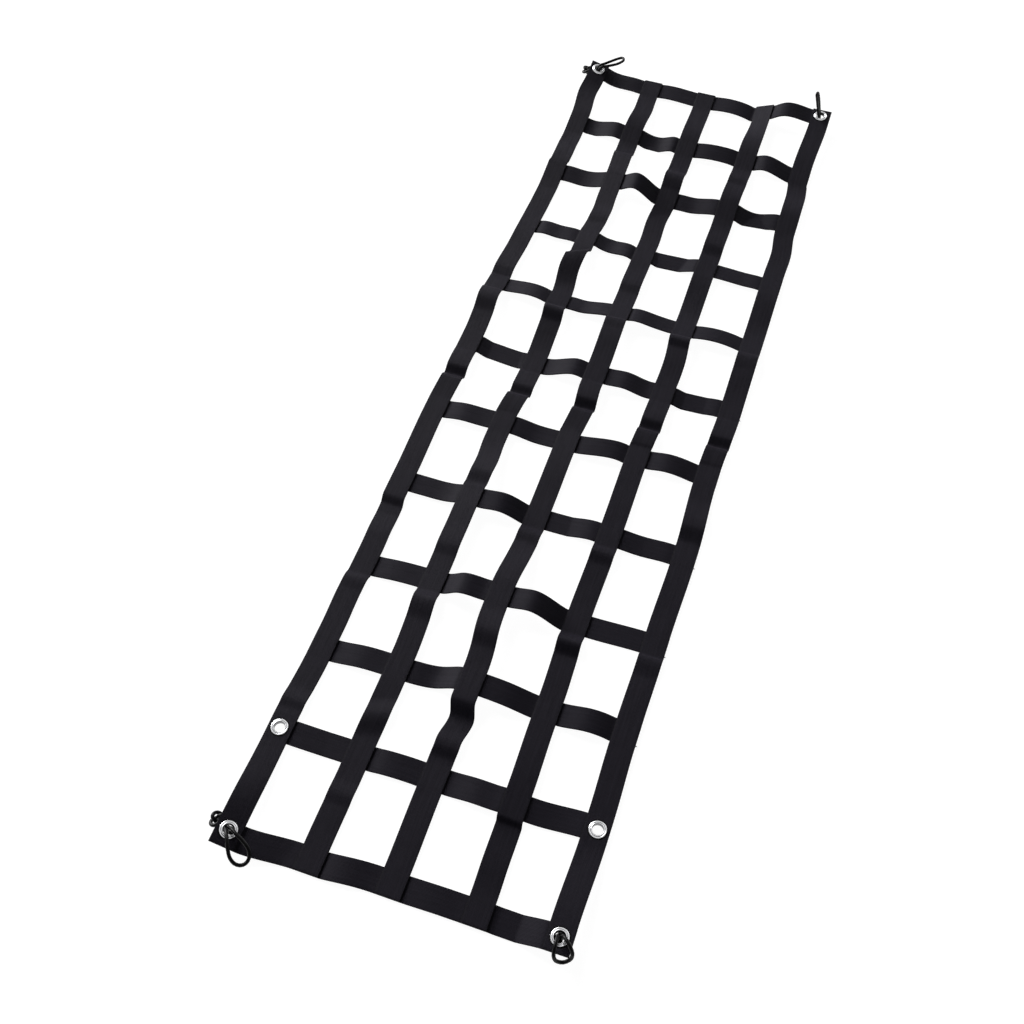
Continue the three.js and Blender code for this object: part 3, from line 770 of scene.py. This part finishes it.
# %% Laying all seventeen straps
straps = []
for strap in range(STRAPS):
    holes = [Vector((eyelet.dx * MM, eyelet_frames[eyelet.name].translation.y, 0))
             for eyelet in EYELETS if eyelet.strap == strap]
    straps.append(lay_strap(f"webbing_long_{strap + 1}", f"long_strap_{strap + 1}",
                            partial(long_strap_surface, strap), long_strap_seats(strap), holes))
for row in range(len(ROWS)):
    holes = [Vector((-eyelet.dy * MM, eyelet_frames[eyelet.name].translation.x, 0))
             for eyelet in EYELETS if eyelet.row == row]
    straps.append(lay_strap(f"webbing_cross_{row + 1:02d}", f"cross_strap_{row + 1:02d}",
                            partial(cross_strap_surface, row), cross_strap_seats(row), holes))
print("straps:", len(straps), "faces:", sum(len(strap.data.polygons) for strap in straps))

# %% [markdown]
# An eyelet is pressed from thin plated brass: a barrel with a flange on top, and a washer that the
# barrel's other end is rolled over. Its section is drawn once, half of it, and mirrored, then spun
# round the axis. The groove between the rolled bead and the flange shows as a dark ring, partly by
# its own shade and partly by shade painted into the plate's colour.

# %% Eyelets
EYELET_STEPS = 72
# Radius and height of the section above the eyelet's middle, from the barrel's outside to its bore
EYELET_SECTION = (
    (7.6, 1.75), (10.55, 1.72), (10.85, 1.80), (11.0, 2.05), (10.95, 2.45), (10.7, 2.80),
    (10.3, 3.02), (9.8, 3.10), (9.3, 3.04), (8.98, 2.7), (8.72, 2.68), (8.5, 3.1), (8.1, 3.38),
    (7.65, 3.45), (7.25, 3.34), (6.95, 3.06), (6.76, 2.6), (6.7, 2.0),
)


def spin_eyelet(eyelet):
    outline = list(EYELET_SECTION)
    outline += [(radius, -height) for radius, height in reversed(EYELET_SECTION)]
    metal = bmesh.new()
    verts = [metal.verts.new((radius * MM, 0, height * MM)) for radius, height in outline]
    edges = [metal.edges.new(pair) for pair in zip(verts, verts[1:] + verts[:1])]
    bmesh.ops.spin(metal, geom=verts + edges, cent=(0, 0, 0), axis=(0, 0, 1), dvec=(0, 0, 0),
                   angle=2 * math.pi, steps=EYELET_STEPS, use_merge=True)
    bmesh.ops.remove_doubles(metal, verts=metal.verts, dist=TOUCHING)
    bmesh.ops.recalc_face_normals(metal, faces=metal.faces)
    section = metal.loops.layers.uv.new("section")
    for face in metal.faces:
        for corner in face.loops:
            corner[section].uv = (corner.vert.co.xy.length, corner.vert.co.z)
    bmesh.ops.transform(metal, matrix=eyelet_frames[eyelet.name], verts=metal.verts)
    name = f"plated_eyelet_{eyelet.name}"
    piece = add_piece(name, mesh_of(name, metal))
    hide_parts(f"eyelet_{eyelet.name}")
    return piece


eyelets = [spin_eyelet(eyelet) for eyelet in EYELETS]
print("eyelets:", len(eyelets))

# %% [markdown]
# Each crossing is sewn with a square of lock stitches in thick black thread. One stitch is a small
# grain, a ball drawn out long and pressed flatter, and turned a little, because a lock stitch pulls
# its thread askew. A bevelled curve could be a thread too, but thousands of them would be slow.

# %% The stitches of a square
STITCH = 2.7 * MM
THREAD = 0.75 * MM
FLATTENED = 0.7
SEWN_SQUARE = 13.2 * MM
STITCHES_A_SIDE = 9
STITCH_SLANT = math.radians(7)


def stitch_shape():
    grain = bmesh.new()
    bmesh.ops.create_uvsphere(grain, u_segments=6, v_segments=5, radius=0.5)
    bmesh.ops.rotate(grain, cent=(0, 0, 0), matrix=Matrix.Rotation(math.pi / 2, 3, "Y"),
                     verts=grain.verts)
    bmesh.ops.scale(grain, vec=(STITCH, THREAD, THREAD * FLATTENED), verts=grain.verts)
    grain.verts.index_update()
    corners = np.array([vert.co for vert in grain.verts])
    faces = [[vert.index for vert in face.verts] for face in grain.faces]
    grain.free()
    return corners, faces


def stitch_places():
    """Middle and direction of each stitch of a sewn square, in its own plane."""
    step = 2 * SEWN_SQUARE / STITCHES_A_SIDE
    places = []
    for side in range(4):
        turn = Matrix.Rotation(side * math.pi / 2, 2)
        for n in range(STITCHES_A_SIDE):
            spot = turn @ Vector((-SEWN_SQUARE + (n + 0.5) * step, -SEWN_SQUARE))
            places.append((spot, side * math.pi / 2 + STITCH_SLANT))
    return places


print("stitches round a square:", len(stitch_places()))

# %% [markdown]
# A machine sews through both layers, so each stitch shows above and below. The stitches of a square
# are set in its own plane, which may be tilted, and sunk a little into the webbing. Their corners
# are multiplied out with arrays, and those of each long strap become one mesh. Stitches that would
# lie under an eyelet's lip are left out. At four squares on the right edge a longer grain is the
# tail of thread that was left where the sewing ended.

# %% Sewing
STITCH_SUNK = 0.12 * MM
LIP_CLEAR = 11.8 * MM
# Strap and row of the squares whose last stitch left a tail at the strap's edge
TAILS = ((4, 2), (4, 3), (4, 4), (4, 6))
TAIL_STRETCH = np.array((1.5, 2, 2))


def sew_strap(strap):
    corners, faces = stitch_shape()
    points = []
    for row in range(len(ROWS)):
        here = crossing(strap, row)
        across = Vector((1, 0, here.slope_x)).normalized()
        along = here.normal.cross(across)
        square = Matrix((across, along, here.normal)).transposed()
        clear_of = [Vector((eyelet.dx * MM, eyelet.dy * MM)) for eyelet in EYELETS
                    if (eyelet.strap, eyelet.row) == (strap, row)]
        top = THICKNESS / 2 + GAP + THICKNESS - STITCH_SUNK
        bottom = -THICKNESS / 2 + STITCH_SUNK
        for spot, way in stitch_places():
            if any((spot - centre).length < LIP_CLEAR for centre in clear_of):
                continue
            for height in (top, bottom):
                turn = square @ Matrix.Rotation(way, 3, "Z")
                middle = here.centre + square @ Vector((spot.x, spot.y, height))
                points.append(corners @ np.array(turn).T + np.array(middle))
        if (strap, row) in TAILS:
            middle = here.centre + square @ Vector((WIDTH / 2, -SEWN_SQUARE, THICKNESS / 2 + GAP))
            points.append(corners * TAIL_STRETCH @ np.array(square).T + np.array(middle))
    count = len(corners)
    name = f"sewing_{strap + 1}"
    mesh = bpy.data.meshes.new(name)
    mesh.from_pydata(np.concatenate(points).tolist(), [],
                     [[n + count * each for n in face] for each in range(len(points))
                      for face in faces])
    piece = add_piece(name, mesh)
    return piece


sewing = [sew_strap(strap) for strap in range(STRAPS)]
print("faces of thread:", sum(len(piece.data.polygons) for piece in sewing))

# %% [markdown]
# Writing finishes as sums
#
# A finish is a small drawing in nodes. Wiring them one by one hides the idea, so one class wraps a
# node's socket and lets plain Python arithmetic add the Math nodes.

# %% Arithmetic on sockets
class Wire:
    """A value that changes over a surface. Arithmetic on it adds Math nodes."""

    def __init__(self, finish, socket):
        self.finish = finish
        self.socket = socket

    def math(self, operation, *terms):
        return self.finish.node("Math", {"operation": operation}, dict(enumerate(terms)))

    def __add__(self, other):
        return self.math("ADD", self, other)

    def __sub__(self, other):
        return self.math("SUBTRACT", self, other)

    def __rsub__(self, other):
        return self.math("SUBTRACT", other, self)

    def __mul__(self, other):
        return self.math("MULTIPLY", self, other)

    __radd__ = __add__
    __rmul__ = __mul__

    def __truediv__(self, other):
        return self.math("DIVIDE", self, other)

    def __mod__(self, other):
        return self.math("FLOORED_MODULO", self, other)

    def floor(self):
        return self.math("FLOOR", self)

    def sine(self):
        return self.math("SINE", self)

    def size(self):
        return self.math("ABSOLUTE", self)

    def above(self, low, high):
        """Goes from 0 to 1 as the value passes from low to high."""
        return self.finish.node("MapRange", {"interpolation_type": "SMOOTHSTEP"},
                                {"Value": self, "From Min": low, "From Max": high})


print("a Wire's sums become Math nodes")

# %% [markdown]
# A second class holds one material. Its node method makes any other node from its type, its
# settings and what goes into its sockets. Maps, noise and mixed colours are asked for so often that
# each has a method of its own. Node groups could hold them too, but take more lines to wire.

# %% A material and its nodes
class Finish:
    """A material whose nodes are added one call at a time."""

    def __init__(self, name):
        self.material = bpy.data.materials.new(name)
        self.material.use_nodes = True
        self.tree = self.material.node_tree
        self.shader = self.tree.nodes["Principled BSDF"]

    def node(self, kind, settings, sockets, output=0):
        made = self.tree.nodes.new("ShaderNode" + kind)
        for name, value in settings.items():
            setattr(made, name, value)
        for name, value in sockets.items():
            self.plug(made.inputs[name], value)
        return Wire(self, made.outputs[output])

    def plug(self, socket, value):
        if isinstance(value, Wire):
            self.tree.links.new(value.socket, socket)
        else:
            socket.default_value = value

    def set(self, **sockets):
        """Fills the shader's sockets, with underscores in their names for spaces."""
        for name, value in sockets.items():
            self.plug(self.shader.inputs[name.replace("_", " ")], value)

    def uv_map(self, name):
        """One of the pieces' own maps, and its two coordinates."""
        place = self.node("UVMap", {"uv_map": name}, {})
        first, second = (self.node("SeparateXYZ", {}, {0: place}, axis) for axis in (0, 1))
        return place, first, second

    def noise(self, place, scale, detail):
        return self.node("TexNoise", {}, {"Vector": place, "Scale": scale, "Detail": detail})

    def mix(self, share, low, high):
        return self.node("Mix", {"data_type": "RGBA"}, {0: share, 6: low, 7: high}, 2)

    def paint(self, pieces):
        for piece in pieces:
            piece.data.materials.clear()
            piece.data.materials.append(self.material)


def grey(red, green, blue):
    """A colour from the three numbers of a picture, 0 to 255, as the light that it stands for."""
    light = [((c / 255 + 0.055) / 1.055) ** 2.4 if c > 10 else c / 255 / 12.92
             for c in (red, green, blue)]
    return (*light, 1)


print("middle grey as light:", round(grey(128, 128, 128)[0], 3))

# %% [markdown]
# The webbing is woven flat from thick black yarn. Its face shows columns of short warp floats,
# each column half a float behind its neighbour, like bricks on end. The pattern is worked out
# from the strap's own weave coordinates, so it follows every fold and stops true at the edges.
# It makes a bump, and painted shade in the colour darkens the gaps between the floats. Some yarns
# are fuller than others and draw faint lines along the strap, so noise that is stretched along the
# weave is added. Three places are darker: the strap's rounded edges and sides, with painted shade;
# a ring round each eyelet's lip, with painted shade; and the cut ends, which are melted so that they
# don't fray. A picture of webbing could be laid on instead, but it would blur in a close view.

# %% Webbing
YARN_WIDTH = 1.45 * MM
FLOAT_LENGTH = 3.4 * MM
YARN_DEPTH = 0.35 * MM
FUZZ_SCALE = 900
WEAR_SCALE = 18
STREAKS_ACROSS = 330
STREAKS_ALONG = 14
EDGE_SHADE_WIDTH = 0.8 * MM
MELTED = 0.8 * MM
LIP_FADE = 1.5 * MM

webbing = Finish("woven_webbing")
place, across, along = webbing.uv_map("weave")
column = (across / YARN_WIDTH).floor()
in_column = (across / YARN_WIDTH) % 1
in_float = (along / FLOAT_LENGTH + column * 0.5) % 1
yarn = (in_column * math.pi).sine() * (0.35 + 0.65 * (in_float * math.pi).sine())
fuzz = webbing.noise(place, FUZZ_SCALE, 3)
wear = webbing.noise(place, WEAR_SCALE, 4)
drawn_out = webbing.node("CombineXYZ", {}, {0: across * STREAKS_ACROSS, 1: along * STREAKS_ALONG})
streak = webbing.noise(drawn_out, 1, 2)
# The yarn term lightens the floats and paints shade into the gaps between them; fuzz, streaks and wear
# are uneven tone.
shade = 0.25 * yarn + 0.15 * fuzz + 1.1 * streak - 0.25 + 0.35 * (wear - 0.5)
face_colour = webbing.mix(shade, grey(21, 18, 28), grey(36, 33, 43))

_, from_hole, from_end = webbing.uv_map("rims")
# Painted shade: the strap's rounded edges and sides are darkened in the colour, as if out of the
# light.
painted_edge_shade = across.size().above(WIDTH / 2 - EDGE_SHADE_WIDTH, WIDTH / 2 - EDGE_SHADE_WIDTH / 2)
# Painted shade: a dark ring in the webbing round each eyelet's lip.
lip_ring_shade = 1 - from_hole.above(LIP_CLEAR, LIP_CLEAR + LIP_FADE)
cut_end = 1 - from_end.above(MELTED / 2, MELTED)
# Painted shade at the edges and round the lips, added to the melted cut ends, which really are darker.
dark = painted_edge_shade + lip_ring_shade + cut_end
colour = webbing.mix(dark, face_colour, grey(3, 3, 4))
relief = 0.8 * yarn + 0.8 * streak + 0.15 * fuzz
bump = webbing.node("Bump", {}, {"Strength": 0.6, "Distance": YARN_DEPTH, "Height": relief})
webbing.set(Base_Color=colour, Normal=bump, Roughness=0.6 + 0.2 * fuzz)
webbing.set(Specular_IOR_Level=0.15)
webbing.paint(straps)
print("webbing on", len(straps), "straps")

# %% [markdown]
# The thread is polyester, as black as the webbing. Its stitches are already real shapes, so they
# need no pattern. Fine noise for the lint on them, in shade and in gloss, is enough.

# %% Thread
LINT_SCALE = 700

thread = Finish("black_thread")
spot = thread.node("TexCoord", {}, {}, 3)
lint = thread.noise(spot, LINT_SCALE, 2)
thread.set(Base_Color=thread.mix(lint, grey(22, 20, 27), grey(37, 35, 42)),
           Roughness=0.55 + 0.2 * lint)
thread.set(Specular_IOR_Level=0.15)
thread.paint(sewing)
print("thread on", len(sewing), "straps' sewing")

# %% [markdown]
# The cord's braided cover is blacker than the webbing and has more gloss, because its yarns are
# finer and drawn tight over the rubber. The braid could be noise, but then its painted shade would
# not match its shape. The same two windings that raised the yarns also paint shade into the colour,
# so the gaps between them are the darkest.

# %% Cord
FINE_LINT_SCALE = 1200

elastic = Finish("braided_elastic")
_, share_round, turns = elastic.uv_map("braid")
around = share_round * YARN_WAVES
wound = turns * (YARN_WAVES / 4)
yarns = (around + wound).sine().size() * (around - wound).sine().size()
spot = elastic.node("TexCoord", {}, {}, 3)
lint = elastic.noise(spot, FINE_LINT_SCALE, 2)
# The braid's yarns feed the colour too: painted shade darkens the gaps between them.
elastic.set(Base_Color=elastic.mix(0.7 * yarns + 0.3 * lint, grey(3, 3, 4), grey(16, 15, 18)),
            Roughness=0.34 + 0.16 * lint)
elastic.set(Specular_IOR_Level=0.25)
elastic.paint(cords)
print("elastic on", len(cords), "pieces of cord")

# %% [markdown]
# Bright nickel plate is a true metal: it has hardly a colour of its own and shows what it mirrors.
# A faint cloud in shade and gloss takes the mirror finish off it. Painted shade darkens the groove
# and the inside of the barrel, where the floor's glow would otherwise light them. Hollows could be
# found by their curvature, but the eyelet's own section, kept as a UV map, tells exactly where these
# two rings are.

# %% Plate
CLOUD_SCALE = 260
# Radii between which each ring of painted shade comes in or ends
BARREL_ENDS = (7.0 * MM, 7.5 * MM)
GROOVE_BEGINS = (8.5 * MM, 8.7 * MM)
GROOVE_ENDS = (8.95 * MM, 9.2 * MM)

plate = Finish("bright_plate")
spot = plate.node("TexCoord", {}, {}, 3)
cloud = plate.noise(spot, CLOUD_SCALE, 4)
_, radius, _ = plate.uv_map("section")
# Painted shade: the groove and the inside of the barrel are darkened in the colour.
groove = radius.above(*GROOVE_BEGINS) * (1 - radius.above(*GROOVE_ENDS))
barrel = 1 - radius.above(*BARREL_ENDS)
painted_shade = 0.9 * groove + 0.8 * barrel
bright = plate.mix(cloud, grey(228, 229, 232), grey(248, 248, 250))
plate.set(Base_Color=plate.mix(painted_shade, bright, grey(30, 30, 33)), Roughness=0.2 + 0.1 * cloud)
plate.set(Metallic=1.0)
plate.paint(eyelets)
print("plate on", len(eyelets), "eyelets")

# %% [markdown]
# The net lies on a white table that fills the picture, lit so evenly that it hardly shows a
# shadow. A photographer lights the table from below as well as from above. Here the floor gives
# off most of its light itself and a faint sky fills the shadows. A round wall, which only the
# camera sees, keeps the background white from low down too.

# %% Floor, wall and sky
FLOOR_HALF = 6
FLOOR_DROP = 0.2 * MM
WALL_SIDES = 48
WHITE = (1, 1, 1, 1)
FLOOR_SHADE = (0.22, 0.22, 0.22, 1)
FLOOR_GLOW = 0.96
SKY_GLOW = 0.06


def add_to_stage(name, shape):
    piece = add_object(name, mesh_of(name, shape))
    return piece


sheet = bmesh.new()
bmesh.ops.create_grid(sheet, x_segments=2, y_segments=2, size=FLOOR_HALF)
bmesh.ops.translate(sheet, vec=(0, 0, -FLOOR_DROP), verts=sheet.verts)
floor = add_to_stage("floor", sheet)
drum = bmesh.new()
bmesh.ops.create_cone(drum, segments=WALL_SIDES, radius1=FLOOR_HALF, radius2=FLOOR_HALF,
                      depth=FLOOR_HALF)
bmesh.ops.translate(drum, vec=(0, 0, FLOOR_HALF / 2 - FLOOR_DROP), verts=drum.verts)
wall = add_to_stage("wall", drum)
wall.visible_diffuse = False
wall.visible_glossy = False
wall.visible_shadow = False

white = Finish("white_table")
white.set(Base_Color=FLOOR_SHADE, Roughness=0.9, Specular_IOR_Level=0.0)
white.set(Emission_Color=WHITE, Emission_Strength=FLOOR_GLOW)
white.paint([floor, wall])

sky = bpy.data.worlds.new("sky")
sky.use_nodes = True
sky.node_tree.nodes["Background"].inputs["Color"].default_value = WHITE
sky.node_tree.nodes["Background"].inputs["Strength"].default_value = SKY_GLOW
bpy.context.scene.world = sky
bpy.context.scene.view_settings.view_transform = "Standard"
print("floor and wall reach", FLOOR_HALF, "m")

# %% [markdown]
# A large lamp on the left gives the folds their light and dark sides, and one far behind puts a
# sheen on the rows that lean away. Plated metal needs something white to mirror, as from the card
# that is held over jewellery. So a wide lamp overhead is linked to the eyelets alone. If it lit the
# cloth too, the black would turn grey.

# %% Lamps
def add_lamp(name, place, target, size, power):
    light = bpy.data.lights.new(name, "AREA")
    light.shape = "DISK"
    light.size = size
    light.energy = power
    lamp = add_object(name, light)
    lamp.location = place
    lamp.rotation_euler = (Vector(target) - Vector(place)).to_track_quat("-Z", "Y").to_euler()
    return lamp


add_lamp("key", place=(-6, 4, 3.2), target=(0, 0, 0), size=6, power=840)
add_lamp("back", place=(6, 11, 5), target=(0, 0.4, 0), size=8, power=250)
ceiling = add_lamp("ceiling", place=(0, 0, 3.5), target=(0, 0, 0), size=16, power=400)
plated = bpy.data.collections.new("plated")
for eyelet in eyelets:
    plated.objects.link(eyelet)
ceiling.light_linking.receiver_collection = plated
print("lamps:", sum(each.type == "LIGHT" for each in bpy.data.objects))
